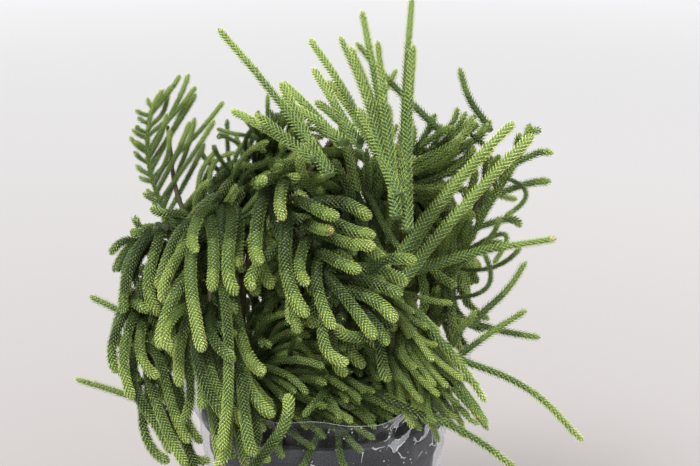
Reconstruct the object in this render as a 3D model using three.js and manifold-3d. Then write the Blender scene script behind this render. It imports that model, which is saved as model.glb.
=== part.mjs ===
// A bunch of cut monkey puzzle branches standing in a florist's bucket, in a clear film sleeve.
//
// Millimetres, +Z up. The origin is the middle of the bucket's flat underside, and the front of
// the bunch faces -Y. Places in the crown are given as [bearing, out, up]: the bearing in degrees
// round the bucket's axis (0 is the front, 90 the right side), the distance out from that axis,
// and the height above the bucket's mouth.
import * as THREE from "three";
import { mergeVertices } from "three/addons/utils/BufferGeometryUtils.js";
import Module from "manifold-3d";

const wasm = await Module();
wasm.setup();

// ---- driving dimensions ---------------------------------------------------------------------

const GAP = 0.5; // air left between neighbouring solids

const BUCKET = {
  height: 290, // ground to the top of the lip
  baseRadius: 98,
  mouthRadius: 122, // outside of the wall, just under the lip
  wall: 2.5,
  floor: 3,
  chamfer: 3, // round the foot and the top of the lip
  lipReach: 7, // how far the turned lip stands out from the wall
  lipDepth: 14,
  lipHollow: 2, // how far up the lip is hollow from below
  ribDrop: 44, // the stiffening rib's distance below the mouth
  ribReach: 2.5,
  ribHalf: 3, // half the height of the rib's outer face
  ribSlope: 3, // height of the slope above and below that face
  mouthEase: 2, // how much wider the mouth is at its very top
};

const SLEEVE = {
  film: 1, // thickness, thicker than real film so that it is a solid
  ease: 1.2, // how far it stands off the bucket
  hem: 5, // its lower edge above the ground
  bulge: 4, // how much further off it stands at each of these heights
  bulgeAt: [90, 180],
  tuck: 2, // it leaves the bucket this far below the lip
  rise: 40, // its upper edge above the mouth
  flare: 20, // how much wider the upper edge is than the lip
  halfwayFlare: 9,
  pleats: [
    { count: 9, depth: 5, turn: 0 },
    { count: 5, depth: 3, turn: 2 },
  ],
  edgeWave: { count: 3, depth: 5, turn: 1 },
};
const SLEEVE_ROOM = 11; // air left round the sleeve's upper edge

const STEM = {
  count: 7, // one in the middle and the rest in a ring round it
  cutRadius: 6.5,
  topRadius: 4.5,
  firstBearing: 30,
  middleShare: 0.12, // how far out the middle one stands, as a share of the ring
  foot: BUCKET.floor + GAP - BUCKET.height,
  // the ring on its way up: degrees it has turned, how far out it is, how far above the foot
  ring: [
    { turn: 0, out: 28, up: 0 },
    { turn: 4, out: 28.56, up: 22 },
    { turn: 14, out: 44.64, up: 176.5 },
    { turn: 22, out: 62, up: 286.5 },
    { turn: 26, out: 93, up: 376.5 },
  ],
};

const WHIP = { footRadius: 5.2, tipRadius: 3.6 }; // a single shoot with its leaves

// How lumpy the masses are, as shares of their half widths.
const UNEVEN = {
  along: 0.07,
  round: 0.09,
  bumpsRound: 3,
  ends: 0.22, // how much fuller than an egg's, because the shoots end at many lengths
};

const FACETS = {
  bucket: 32,
  mass: { sides: 11, rings: 8 },
  stem: { sides: 8, rings: 7 },
  whip: { sides: 6, rings: 5 },
};

const COLOURS = {
  bucket: 0x33353a,
  sleeve: 0xdfe6ea,
  stem: 0x6d5a3c,
  deep: 0x3d6330,
  fresh: 0x7da33c,
  whip: 0x4c7a45,
};

// ---- the masses of foliage ------------------------------------------------------------------
// Each mass follows an arc through three places: [name, from, over, to, broad, deep, faces].
// broad and deep are its half widths, and it is deep along the horizontal bearing it faces.

const MASSES = [
  // standing fronds, clear of the crown
  ["frond_left_rear", [-114, 150, 165], [-114, 172, 235], [-116, 183, 312], 42, 17, 0],
  ["frond_right", [85, 108, 80], [90, 142, 185], [93, 210, 292], 38, 19, 0],
  // falls of hanging shoots, round the outside
  ["fall_left", [-87, 150, 190], [-72, 192, 100], [-42, 172, -45], 36, 28, -65],
  ["fall_front_left", [-67, 95, 218], [-46, 152, 130], [-21, 176, -2], 46, 32, -40],
  ["fall_front", [-40, 62, 246], [3, 108, 180], [34, 150, 84], 52, 36, 10],
  ["fall_front_right", [36, 88, 130], [44, 142, 76], [53, 176, 16], 40, 29, 45],
  ["fall_right", [92, 84, 190], [95, 130, 112], [94, 146, 34], 56, 32, 92],
  ["fall_back_right", [131, 90, 224], [134, 160, 140], [139, 190, 30], 58, 36, 135],
  ["fall_back", [180, 68, 236], [176, 146, 140], [173, 184, 20], 60, 36, 176],
  ["fall_back_left", [-131, 90, 224], [-131, 166, 136], [-143, 192, 24], 58, 36, -136],
  ["fall_left_rear", [-101, 100, 180], [-98, 150, 108], [-98, 170, 18], 54, 34, -98],
  ["tuft_left", [-97, 138, 168], [-98, 180, 178], [-98, 204, 122], 30, 21, -98],
  // the top of the crown
  ["ridge_left", [-112, 128, 165], [-132, 104, 222], [-164, 60, 278], 36, 34, 0],
  ["ridge_right", [128, 70, 200], [115, 130, 252], [107, 178, 278], 38, 34, 0],
  // what fills the mouth of the bucket, and the middle
  ["skirt_front", [-48, 84, 78], [6, 106, 60], [60, 94, 66], 52, 30, 0],
  ["skirt_back", [138, 84, 76], [180, 96, 66], [-138, 84, 76], 50, 28, 180],
  ["heart", [150, 12, 14], [135, 24, 140], [120, 34, 286], 94, 86, 0],
];

// ---- the single long shoots -----------------------------------------------------------------
// [name, foot, tip, bow]: bow is how far the middle stands off the straight line, to the right of
// the way the shoot grows as seen from the front.

const WHIPS = [
  // the spray that stands out of the top
  ["spray_1", [79, 51, 167], [-90, 100, 390], 10],
  ["spray_2", [90, 33, 206], [-96, 90, 306], 14],
  ["spray_3", [115, 48, 211], [-135, 57, 328], 9],
  ["spray_4", [101, 51, 198], [-163, 31, 345], 8],
  ["spray_5", [109, 62, 189], [-168, 61, 368], 14],
  ["spray_6", [72, 65, 192], [32, 35, 388], 11],
  ["spray_7", [90, 67, 180], [117, 45, 404], 3],
  ["spray_8", [65, 72, 184], [47, 74, 388], 2],
  ["spray_9", [74, 73, 176], [90, 88, 420], -3],
  ["spray_10", [68, 79, 174], [66, 97, 382], -2],
  ["whip_crossing", [110, 174, 242], [145, 61, 367], -7],
  ["whip_upper_right", [110, 176, 283], [111, 150, 340], -4],
  // arms on the right
  ["whip_right_arm", [55, 106, 161], [80, 234, 188], -5],
  ["whip_right_curl", [86, 146, 91], [93, 208, 147], 9],
  ["whip_right_rear", [104, 126, 85], [100, 233, 52], 4],
  ["whip_right_short", [63, 133, 55], [71, 213, 124], -3],
  ["whip_right_up", [68, 134, 64], [72, 161, 115], -3],
  ["whip_low_right", [56, 141, 78], [71, 272, -8], -20],
  ["whip_low_middle", [46, 145, 111], [53, 198, 49], -5],
  ["whip_low_inner", [44, 152, 73], [49, 204, 38], -3],
  ["whip_low_front", [33, 150, 44], [48, 246, 1], -8],
  // arms on the left and at the back
  ["whip_left_arm", [-84, 180, 2], [-86, 256, 29], 1],
  ["whip_left_rear", [-96, 178, 66], [-97, 246, 102], 2],
  ["whip_back_left", [-164, 93, 201], [-160, 128, 297], 4],
  ["whip_back", [163, 94, 212], [149, 151, 322], -5],
  ["whip_back_right", [131, 151, 198], [125, 258, 172], -6],
  ["whip_back_low", [-144, 160, 143], [-134, 262, 100], 6],
];

// ---- geometry helpers -----------------------------------------------------------------------

function horizontal(bearing) {
  const angle = THREE.MathUtils.degToRad(bearing);
  return new THREE.Vector3(Math.sin(angle), -Math.cos(angle), 0);
}

function place([bearing, out, up]) {
  return horizontal(bearing).multiplyScalar(out).setZ(BUCKET.height + up);
}

// The two directions across a curve at t: thin lies as near to `face` as the curve allows.
function crossAxes(curve, t, face) {
  const along = curve.getTangentAt(t);
  const thin = face.clone().addScaledVector(along, -face.dot(along)).normalize();
  const wide = new THREE.Vector3().crossVectors(thin, along);
  return { thin, wide };
}

// Lays a unit solid of revolution about Y, with y from -1 to 1, along a curve.
// sizeAt(t, angle) gives the [wide, thin] half sizes there.
function layAlong(geometry, curve, face, sizeAt) {
  const position = geometry.getAttribute("position");
  for (let i = 0; i < position.count; i++) {
    const t = THREE.MathUtils.clamp((position.getY(i) + 1) / 2, 0, 1);
    const x = position.getX(i);
    const z = position.getZ(i);
    const { thin, wide } = crossAxes(curve, t, face);
    const [wideSize, thinSize] = sizeAt(t, Math.atan2(z, x));
    const point = curve.getPointAt(t);
    point.addScaledVector(wide, z * wideSize).addScaledVector(thin, x * thinSize);
    position.setXYZ(i, point.x, point.y, point.z);
  }
  return geometry;
}

// A round rod whose radius runs from foot to tip, laid along a curve.
function rodAlong(curve, face, { sides, rings }, footRadius, tipRadius) {
  const geometry = new THREE.CylinderGeometry(1, 1, 2, sides, rings);
  return solidOf(
    layAlong(geometry, curve, face, (t) => {
      const radius = THREE.MathUtils.lerp(footRadius, tipRadius, t);
      return [radius, radius];
    }),
  );
}

function solidOf(geometry) {
  geometry.deleteAttribute("normal");
  geometry.deleteAttribute("uv");
  const merged = mergeVertices(geometry, 1e-3);
  const solid = new wasm.Manifold(
    new wasm.Mesh({
      numProp: 3,
      vertProperties: new Float32Array(merged.attributes.position.array),
      triVerts: new Uint32Array(merged.index.array),
    }),
  );
  if (solid.volume() <= 0) throw new Error("a solid is inside out");
  return solid;
}

function geometryOf(solid) {
  const { vertProperties, triVerts } = solid.getMesh();
  const geometry = new THREE.BufferGeometry()
    .setAttribute("position", new THREE.BufferAttribute(new Float32Array(vertProperties), 3))
    .setIndex(new THREE.BufferAttribute(new Uint32Array(triVerts), 1));
  geometry.computeVertexNormals();
  return geometry;
}

// The solid with every corner moved out by `by`, so that a neighbour cut by it keeps clear of it.
function grown(solid, by) {
  const geometry = geometryOf(solid);
  const position = geometry.getAttribute("position");
  const normal = geometry.getAttribute("normal");
  const corner = new THREE.Vector3();
  const out = new THREE.Vector3();
  for (let i = 0; i < position.count; i++) {
    out.fromBufferAttribute(normal, i);
    corner.fromBufferAttribute(position, i).addScaledVector(out, by);
    position.setXYZ(i, corner.x, corner.y, corner.z);
  }
  return solidOf(geometry);
}

function largestBody(solid) {
  return solid.decompose().sort((a, b) => b.volume() - a.volume())[0];
}

// A repeatable number from 0 to 1 for each seed.
function chance(seed) {
  const wave = Math.sin(seed * 127.1 + 311.7) * 43758.5453;
  return wave - Math.floor(wave);
}

// ---- the bucket and its sleeve --------------------------------------------------------------

function bucketRadiusAt(height) {
  return THREE.MathUtils.lerp(BUCKET.baseRadius, BUCKET.mouthRadius, height / BUCKET.height);
}

function lathed(outline) {
  const profile = outline.map(([radius, height]) => new THREE.Vector2(radius, height));
  return new THREE.LatheGeometry(profile, FACETS.bucket).rotateX(Math.PI / 2);
}

function bucketSolid() {
  const { height, baseRadius, wall, floor, chamfer, lipHollow, ribHalf, ribReach, ribSlope } = BUCKET;
  const rib = height - BUCKET.ribDrop;
  const ribEnd = ribHalf + ribSlope;
  const lipUnder = height - BUCKET.lipDepth;
  const lipOut = bucketRadiusAt(lipUnder) + BUCKET.lipReach;
  const mouthIn = BUCKET.mouthRadius - wall;
  const outline = [
    [0, 0],
    [baseRadius - chamfer, 0],
    [baseRadius, chamfer],
    [bucketRadiusAt(rib - ribEnd), rib - ribEnd],
    [bucketRadiusAt(rib) + ribReach, rib - ribHalf],
    [bucketRadiusAt(rib) + ribReach, rib + ribHalf],
    [bucketRadiusAt(rib + ribEnd), rib + ribEnd],
    [bucketRadiusAt(lipUnder), lipUnder + lipHollow],
    [lipOut - wall, lipUnder + lipHollow],
    [lipOut - wall, lipUnder],
    [lipOut, lipUnder],
    [lipOut, height - chamfer],
    [lipOut - chamfer, height],
    [mouthIn + BUCKET.mouthEase, height],
    [mouthIn, height - chamfer],
    [baseRadius - wall, floor],
    [0, floor],
  ];
  return solidOf(lathed(outline));
}

function ripple({ count, depth, turn }, angle) {
  return depth * Math.sin(count * angle + turn);
}

// The film hangs from the lip down to the hem and flares above it. thicken moves every face out,
// for the room that other solids leave it.
function sleeveSolid(thicken = 0) {
  const { film, ease, hem, bulge, bulgeAt, rise, flare, halfwayFlare, pleats, edgeWave } = SLEEVE;
  const lip = bucketRadiusAt(BUCKET.height) + BUCKET.lipReach + ease;
  const line = [
    [bucketRadiusAt(hem) + ease + bulge / 2, hem],
    ...bulgeAt.map((height) => [bucketRadiusAt(height) + ease + bulge, height]),
    [lip, BUCKET.height - BUCKET.lipDepth - SLEEVE.tuck],
    [lip, BUCKET.height],
    [lip + halfwayFlare, BUCKET.height + rise / 2],
    [lip + flare, BUCKET.height + rise],
  ];
  line[0][1] -= Math.min(thicken, hem - 1); // but not down to the ground
  line[line.length - 1][1] += thicken;
  const outer = line.map(([radius, height]) => [radius + film + thicken, height]);
  const inner = line.map(([radius, height]) => [radius - thicken, height]);
  const geometry = lathed([...outer, ...inner.reverse(), outer[0]]);
  const position = geometry.getAttribute("position");
  for (let i = 0; i < position.count; i++) {
    const x = position.getX(i);
    const y = position.getY(i);
    const z = position.getZ(i);
    const angle = Math.atan2(y, x);
    const share = THREE.MathUtils.clamp((z - BUCKET.height) / rise, 0, 1);
    const wave = pleats.reduce((sum, pleat) => sum + ripple(pleat, angle), 0);
    const grow = 1 + (share * wave) / Math.hypot(x, y);
    position.setXYZ(i, x * grow, y * grow, z + share * ripple(edgeWave, angle));
  }
  return solidOf(geometry);
}

// What the stems' cut ends stand on, with the gap above it.
function floorRoom() {
  const top = BUCKET.floor + GAP;
  const radius = BUCKET.baseRadius / 2;
  const disc = new THREE.CylinderGeometry(radius, radius, top, FACETS.bucket);
  return solidOf(disc.rotateX(Math.PI / 2).translate(0, 0, top / 2));
}

// ---- the cut stems, masses and whips --------------------------------------------------------

// The stems spread as they rise to the crown.
function stemSolid(index) {
  const bearing = STEM.firstBearing + (index * 360) / (STEM.count - 1);
  const share = index === STEM.count - 1 ? STEM.middleShare : 1;
  const points = STEM.ring.map(({ turn, out, up }) => place([bearing + turn, out * share, STEM.foot + up]));
  const curve = new THREE.CatmullRomCurve3(points);
  return rodAlong(curve, horizontal(bearing), FACETS.stem, STEM.cutRadius, STEM.topRadius);
}

// A bent, lumpy egg of foliage.
function massSolid([, from, over, to, broad, deep, faces], seed) {
  const curve = new THREE.CatmullRomCurve3([place(from), place(over), place(to)]);
  const turn = chance(seed) * Math.PI * 2;
  const lumps = 2 + Math.floor(chance(seed + 0.5) * 3);
  const geometry = new THREE.SphereGeometry(1, FACETS.mass.sides, FACETS.mass.rings);
  return solidOf(
    layAlong(geometry, curve, horizontal(faces), (t, angle) => {
      const middle = Math.sin(Math.PI * t);
      const along = UNEVEN.along * Math.sin(Math.PI * lumps * t + turn);
      const round = UNEVEN.round * Math.cos(UNEVEN.bumpsRound * angle + turn) * middle;
      const size = (1 + along + round) * (1 + UNEVEN.ends * (1 - middle));
      return [broad * size, deep * size];
    }),
  );
}

function whipSolid([, foot, tip, bow]) {
  const start = place(foot);
  const end = place(tip);
  const side = new THREE.Vector3(end.z - start.z, 0, start.x - end.x).normalize();
  const middle = start.clone().lerp(end, 0.5).addScaledVector(side, bow * 2);
  const curve = new THREE.QuadraticBezierCurve3(start, middle, end);
  return rodAlong(curve, new THREE.Vector3(0, 1, 0), FACETS.whip, WHIP.footRadius, WHIP.tipRadius);
}

// ---- assembly -------------------------------------------------------------------------------

const bunch = new THREE.Group();

function addMesh(name, solid, colour, roughness) {
  const material = new THREE.MeshStandardMaterial({ color: colour, roughness, metalness: 0 });
  const mesh = new THREE.Mesh(geometryOf(solid), material);
  mesh.name = name;
  bunch.add(mesh);
}

addMesh("bucket", bucketSolid(), COLOURS.bucket, 0.55);
addMesh("film_sleeve", sleeveSolid(), COLOURS.sleeve, 0.1);

// Each solid is cut round those before it, so the first ones keep their whole shape.
let taken = sleeveSolid(SLEEVE_ROOM).add(floorRoom());

function addCut(name, whole, colour, roughness) {
  addMesh(name, largestBody(whole.subtract(taken)), colour, roughness);
  taken = taken.add(grown(whole, GAP));
}

MASSES.forEach((mass, index) => {
  const [name] = mass;
  const colour = name.startsWith("fall") ? COLOURS.fresh : COLOURS.deep;
  addCut(name, massSolid(mass, index + 1), colour, 0.8);
});

for (let index = 0; index < STEM.count; index++) {
  addCut(`stem_${index + 1}`, stemSolid(index), COLOURS.stem, 0.9);
}

for (const whip of WHIPS) {
  addCut(whip[0], whipSolid(whip), COLOURS.whip, 0.7);
}

export default bunch;
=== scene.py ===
"""A bunch of cut monkey puzzle branches in a florist's bucket, with a clear film sleeve.

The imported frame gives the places: the bucket, the sleeve, the cut stems, the masses of foliage
and the long single shoots. Every mass is replaced by boughs that grow on from the stems, and by
shoots that grow from the boughs by a seeded rule, each clothed in small overlapping leaves.
Lengths are in metres.
"""

import math
from dataclasses import dataclass, replace

import bmesh
import bpy
import numpy as np
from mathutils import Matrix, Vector
from mathutils.bvhtree import BVHTree
from numpy.linalg import norm, svd

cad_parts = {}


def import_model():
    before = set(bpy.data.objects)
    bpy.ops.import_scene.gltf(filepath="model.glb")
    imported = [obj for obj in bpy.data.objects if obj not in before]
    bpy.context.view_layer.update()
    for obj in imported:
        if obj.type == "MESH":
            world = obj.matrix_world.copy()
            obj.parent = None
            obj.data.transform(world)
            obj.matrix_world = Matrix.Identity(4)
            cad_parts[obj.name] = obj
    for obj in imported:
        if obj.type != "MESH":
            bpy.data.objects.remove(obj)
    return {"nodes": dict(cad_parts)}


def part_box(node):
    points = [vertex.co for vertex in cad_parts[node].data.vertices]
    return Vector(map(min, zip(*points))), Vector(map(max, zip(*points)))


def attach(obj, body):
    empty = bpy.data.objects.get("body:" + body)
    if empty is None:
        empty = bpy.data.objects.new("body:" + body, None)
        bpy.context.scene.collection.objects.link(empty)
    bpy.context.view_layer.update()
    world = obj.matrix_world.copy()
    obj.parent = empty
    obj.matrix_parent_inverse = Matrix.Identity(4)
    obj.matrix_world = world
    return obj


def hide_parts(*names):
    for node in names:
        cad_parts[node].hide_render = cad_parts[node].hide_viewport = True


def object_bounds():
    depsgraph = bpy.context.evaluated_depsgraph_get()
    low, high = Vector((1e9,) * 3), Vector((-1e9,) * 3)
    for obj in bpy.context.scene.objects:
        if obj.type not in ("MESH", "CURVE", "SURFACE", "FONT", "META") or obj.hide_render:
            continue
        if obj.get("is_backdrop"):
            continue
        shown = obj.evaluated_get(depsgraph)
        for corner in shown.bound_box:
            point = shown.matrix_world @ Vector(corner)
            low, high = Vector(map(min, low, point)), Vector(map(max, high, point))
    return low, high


MM = 0.001
GOLDEN_ANGLE = math.pi * (3 - math.sqrt(5))
SEED = 20
CORE = np.array([0, 0, 0.45])  # the heart of the bunch

# The camera: where it looks, from how high, how far and how wide.
VIEW_HEIGHT = 0.664  # share of the whole height that the middle of the view is at
VIEW_ASIDE = 0.028
VIEW_ELEVATION = math.radians(18)
VIEW_DISTANCE = 1.6
VIEW_WIDTH = math.radians(25)
FLOOR_RADIUS = 14


def mm(*sizes):
    """Sizes in millimetres, as metres."""
    return tuple(size * MM for size in sizes)


# ---- node graphs ----


def operator(operation, swapped=False):
    """A Python operator that adds a Math node."""

    def method(self, other):
        first, second = (other, self) if swapped else (self, other)
        return self.graph.wire("ShaderNodeMath", {0: first, 1: second}, operation=operation)

    return method


class Wire:
    """An output socket that takes part in sums."""

    def __init__(self, graph, socket):
        self.graph = graph
        self.socket = socket

    __add__ = __radd__ = operator("ADD")
    __mul__ = __rmul__ = operator("MULTIPLY")
    __sub__ = operator("SUBTRACT")
    __rsub__ = operator("SUBTRACT", swapped=True)
    __pow__ = operator("POWER")
    __gt__ = operator("GREATER_THAN")


class Graph:
    """A node tree, with one method that makes any node."""

    def __init__(self, tree):
        self.tree = tree

    def add(self, kind, inputs=None, **settings):
        node = self.tree.nodes.new(kind)
        for name, value in settings.items():
            setattr(node, name, value)
        return self.put(node, inputs or {})

    def put(self, node, inputs):
        """Sets or links a node's sockets."""
        for key, value in inputs.items():
            if isinstance(value, Wire):
                self.tree.links.new(value.socket, node.inputs[key])
            else:
                node.inputs[key].default_value = value
        return node

    def out(self, node, key=0):
        return Wire(self, node.outputs[key])

    def wire(self, kind, inputs=None, key=0, **settings):
        """A new node's output: its first one, if no other is named."""
        return self.out(self.add(kind, inputs, **settings), key)

    def ramp(self, factor, stops):
        node = self.add("ShaderNodeValToRGB", {"Fac": factor})
        while len(node.color_ramp.elements) < len(stops):
            node.color_ramp.elements.new(0.5)
        for element, (place, colour) in zip(node.color_ramp.elements, stops):
            element.position = place
            element.color = (*colour, 1)
        return self.out(node)


def new_material(name):
    """A material, its graph and its Principled shader."""
    material = bpy.data.materials.new(name)
    material.use_nodes = True
    return material, Graph(material.node_tree), material.node_tree.nodes["Principled BSDF"]


def object_noise(graph, scale, detail=3.0, stretch=(1, 1, 1)):
    place = graph.wire("ShaderNodeTexCoord", key="Object")
    mapped = graph.wire("ShaderNodeMapping", {"Vector": place, "Scale": stretch})
    inputs = {"Vector": mapped, "Scale": scale, "Detail": detail}
    return graph.wire("ShaderNodeTexNoise", inputs, "Fac")


def bumps(graph, height, strength, distance):
    inputs = {"Height": height, "Strength": strength, "Distance": distance}
    return graph.wire("ShaderNodeBump", inputs)


def new_object(name, data):
    """An object in the scene."""
    made = bpy.data.objects.new(name, data)
    bpy.context.scene.collection.objects.link(made)
    return made


# ---- finishes ----

# The leaves' colours, from painted shade and the old leaves inside to the tips, then two that stand
# apart; the darkest is painted shade in the hollows, at the leaves' heels and on the limbs.
TINTS = [
    # painted shade: the darkest tint, dealt to deep shoots, leaf heels and limbs
    ("leaf_painted_shade", (0.022, 0.032, 0.008)),
    ("leaf_deep", (0.070, 0.118, 0.034)),
    ("leaf_mid", (0.158, 0.240, 0.064)),
    ("leaf_fresh", (0.292, 0.400, 0.098)),
    ("leaf_lime", (0.450, 0.550, 0.130)),
    ("leaf_pale", (0.640, 0.710, 0.230)),
    ("leaf_straw", (0.600, 0.540, 0.140)),
    ("leaf_rust", (0.250, 0.120, 0.045)),
]
STRAW = 6.0
RUST = 7.0
RUSTY_LEAVES = 0.003  # share of the leaves that are brown


def leaf_materials():
    """One plain colour for each tint, dealt out by leaf and by shoot rather than laid on as a texture;
    the darker tints also serve as painted shade.
    """
    made = []
    for name, colour in TINTS:
        material, graph, shader = new_material(name)
        graph.put(shader, {"Base Color": (*colour, 1), "Roughness": 0.5, "Specular IOR Level": 0.28})
        made.append(material)
    return made


def bark_material():
    material, graph, shader = new_material("stem_bark")
    browns = [(0.3, (0.035, 0.036, 0.014)), (0.55, (0.080, 0.068, 0.028)), (0.75, (0.150, 0.108, 0.050))]
    looks = {
        "Base Color": graph.ramp(object_noise(graph, 60, 4), browns),
        "Roughness": 0.8,
        "Normal": bumps(graph, object_noise(graph, 420, 3), 0.5, 0.4 * MM),
    }
    graph.put(shader, looks)
    return material


def bucket_material():
    """Near-black plastic with long scuffs down its sides."""
    material, graph, shader = new_material("bucket_plastic")
    scuffs = [(0.35, (0.020, 0.021, 0.023)), (0.62, (0.032, 0.033, 0.036)), (0.8, (0.070, 0.071, 0.075))]
    looks = {
        "Base Color": graph.ramp(object_noise(graph, 38, 5, (1, 1, 0.25)), scuffs),
        "Roughness": 0.36 + 0.3 * object_noise(graph, 90, 3),
        "Normal": bumps(graph, object_noise(graph, 900, 2), 0.12, 0.15 * MM),
    }
    graph.put(shader, looks)
    return material


def film_material():
    """Clear film: what lies behind shows through, and the folds catch the light; painted glints and a
    painted bright upper edge are mixed in as well.
    """
    material, graph, shader = new_material("clear_film")
    graph.put(shader, {"Base Color": (0.80, 0.82, 0.86, 1), "Roughness": 0.16, "Specular IOR Level": 1.0})
    facing = graph.wire("ShaderNodeLayerWeight", {"Blend": 0.35}, "Facing")
    place = graph.wire("ShaderNodeTexCoord", key="Object")
    spot = graph.add("ShaderNodeSeparateXYZ", {0: place})
    # painted glints, more of them towards the upper right
    glint_zone = object_noise(graph, 16, 2) + 1.6 * graph.out(spot, "X") + 1.1 * graph.out(spot, "Z") > 0.90
    # painted glints: bright lines along the bent edges of uneven cells, and a few random cells painted
    # bright as if they faced the light
    drift = graph.wire("ShaderNodeTexNoise", {"Vector": place, "Scale": 34.0}, "Color")
    drifting = {0: drift, 1: (0.03, 0.03, 0.03), 2: place}
    bent = graph.wire("ShaderNodeVectorMath", drifting, operation="MULTIPLY_ADD")
    cells = {"Vector": bent, "Scale": 52.0}
    rim = graph.wire("ShaderNodeTexVoronoi", cells, "Distance", feature="DISTANCE_TO_EDGE")
    facet = graph.wire("ShaderNodeTexVoronoi", cells, "Color")
    tone = graph.wire("ShaderNodeSeparateColor", {0: facet})
    fine_line = (1.0 - (rim > 0.022)) * (object_noise(graph, 70, 2) > 0.5)
    # painted highlight: the glints mix in the pale diffuse film shader
    glints = (0.6 * fine_line + 0.3 * (tone > 0.84)) * glint_zone
    # painted highlight: the film's upper edge is mixed towards the pale shader as a bright line
    edge = graph.wire("ShaderNodeAttribute", key="Fac", attribute_name="edge")
    factor = 0.022 * object_noise(graph, 30, 4) + 0.5 * facing**4 + glints + 0.7 * edge
    clear = graph.wire("ShaderNodeBsdfTransparent", {"Color": (0.97, 0.975, 0.985, 1)})
    film = graph.wire("ShaderNodeMixShader", {0: factor, 1: clear, 2: graph.out(shader, "BSDF")})
    graph.put(material.node_tree.nodes["Material Output"], {"Surface": film})
    return material


def droplet_material():
    material, graph, shader = new_material("water_drop")
    # painted highlight: the drops' pale grey colour stands for the light they catch, where water is
    # clear; their gloss and coat are real
    looks = {"Roughness": 0.04, "Specular IOR Level": 1.0, "Coat Weight": 1.0}
    graph.put(shader, {"Base Color": (0.62, 0.65, 0.68, 1), **looks})
    return material


# ---- curves and frames ----


def unit(vectors):
    return vectors / np.maximum(norm(vectors, axis=-1, keepdims=True), 1e-12)


def run_of(points):
    """How far along the polyline each of its points lies."""
    steps = norm(np.diff(points, axis=0), axis=1)
    return np.concatenate([[0], np.cumsum(steps)])


def points_at(points, wanted):
    """The places that lie that far along the polyline."""
    along = run_of(points)
    return np.stack([np.interp(wanted, along, points[:, k]) for k in range(3)], axis=1)


def resampled(points, count):
    """The polyline's points, set evenly along it."""
    return points_at(points, np.linspace(0, run_of(points)[-1], count))


def smoothed(points, rounds=2):
    """The polyline with its corners eased, and its ends kept."""
    points = points.copy()
    for _ in range(rounds):
        points[1:-1] = (points[:-2] + 2 * points[1:-1] + points[2:]) / 4
    return points


def length_of(points):
    return float(norm(np.diff(points, axis=0), axis=1).sum())


def bezier(a, b, c, d, count):
    t = np.linspace(0, 1, count)[:, None]
    return (1 - t) ** 3 * a + 3 * (1 - t) ** 2 * t * b + 3 * (1 - t) * t**2 * c + t**3 * d


def surface_samples(node, count, rng):
    """Points spread evenly over a node's surface."""
    mesh = node.data
    mesh.calc_loop_triangles()
    corners = np.array([v.co for v in mesh.vertices])
    triangles = np.array([t.vertices for t in mesh.loop_triangles])
    a, b, c = (corners[triangles[:, k]] for k in range(3))
    area = norm(np.cross(b - a, c - a), axis=1)
    picked = rng.choice(len(triangles), count, p=area / area.sum())
    u, v = rng.random((2, count))
    fold = u + v > 1
    u[fold], v[fold] = 1 - u[fold], 1 - v[fold]
    return a[picked] + (b - a)[picked] * u[:, None] + (c - a)[picked] * v[:, None]


class Limb:
    """The middle line of a CAD solid, from the end nearer to `root`, and the solid's main directions."""

    SLICES = 9
    POINTS = 21

    def __init__(self, node, root):
        points = surface_samples(node, 3000, np.random.default_rng(SEED))
        middle = points.mean(0)
        _, _, self.main = svd(points - middle, full_matrices=False)
        axis = self.main[0]
        reach = (points - middle) @ axis
        edges = np.linspace(reach.min(), reach.max(), self.SLICES + 1)
        rows = [points[(reach >= low) & (reach <= high)] for low, high in zip(edges, edges[1:])]
        centres = np.array([row.mean(0) for row in rows if len(row)])
        ends = middle + np.outer([reach.min(), reach.max()], axis)
        for end in (0, -1):
            ends[end] += centres[end] - (middle + axis * ((centres[end] - middle) @ axis))
        line = np.vstack([ends[:1], centres, ends[1:]])
        if norm(line[0] - root) > norm(line[-1] - root):
            line = line[::-1]
        self.line = smoothed(resampled(line, self.POINTS), 3)

    def nearest(self, spot):
        return int(norm(self.line - spot, axis=1).argmin())


def in_box(point, box):
    (x, y, z), (a, b, c), (d, e, f) = point, *box
    return bool(a < x < d and b < y < e and c < z < f)


class Solid:
    """A CAD solid that rays can be cast at."""

    REACH = 0.35

    def __init__(self, node):
        mesh = node.data
        mesh.calc_loop_triangles()
        triangles = [tuple(t.vertices) for t in mesh.loop_triangles]
        corners = [v.co for v in mesh.vertices]
        self.tree = BVHTree.FromPolygons(corners, triangles)
        self.node = node
        self.box = (np.min(corners, 0), np.max(corners, 0))

    def spread(self, count, rng):
        """Points spread over the surface, and the ways out of it there."""
        points = surface_samples(self.node, count, rng)
        normals = [self.tree.find_nearest(Vector(point))[1] for point in points]
        return points, np.array(normals)

    def way_out(self, start, way):
        """How far a ray goes from a point inside before it leaves."""
        hit, _, _, gap = self.tree.ray_cast(Vector(start), Vector(way), self.REACH)
        return gap if hit else 0.0

    def depth(self, point):
        """How deep a point lies inside the solid, or less than 0 outside it."""
        spot, normal, _, gap = self.tree.find_nearest(Vector(point))
        return -gap if (Vector(point) - spot).dot(normal) > 0 else gap

    def holds(self, point, margin):
        """Whether a point lies deeper inside the solid than the margin."""
        return in_box(point, self.box) and self.depth(point) > margin


# ---- shoots ----


@dataclass(frozen=True)
class LeafKind:
    """The small scale leaf of one kind of shoot, and how it sits."""

    long: float
    wide: float
    keel: float  # how far its ridge stands up
    slant: float  # radians off the shoot
    step: float  # along the shoot, from one leaf to the next


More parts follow.
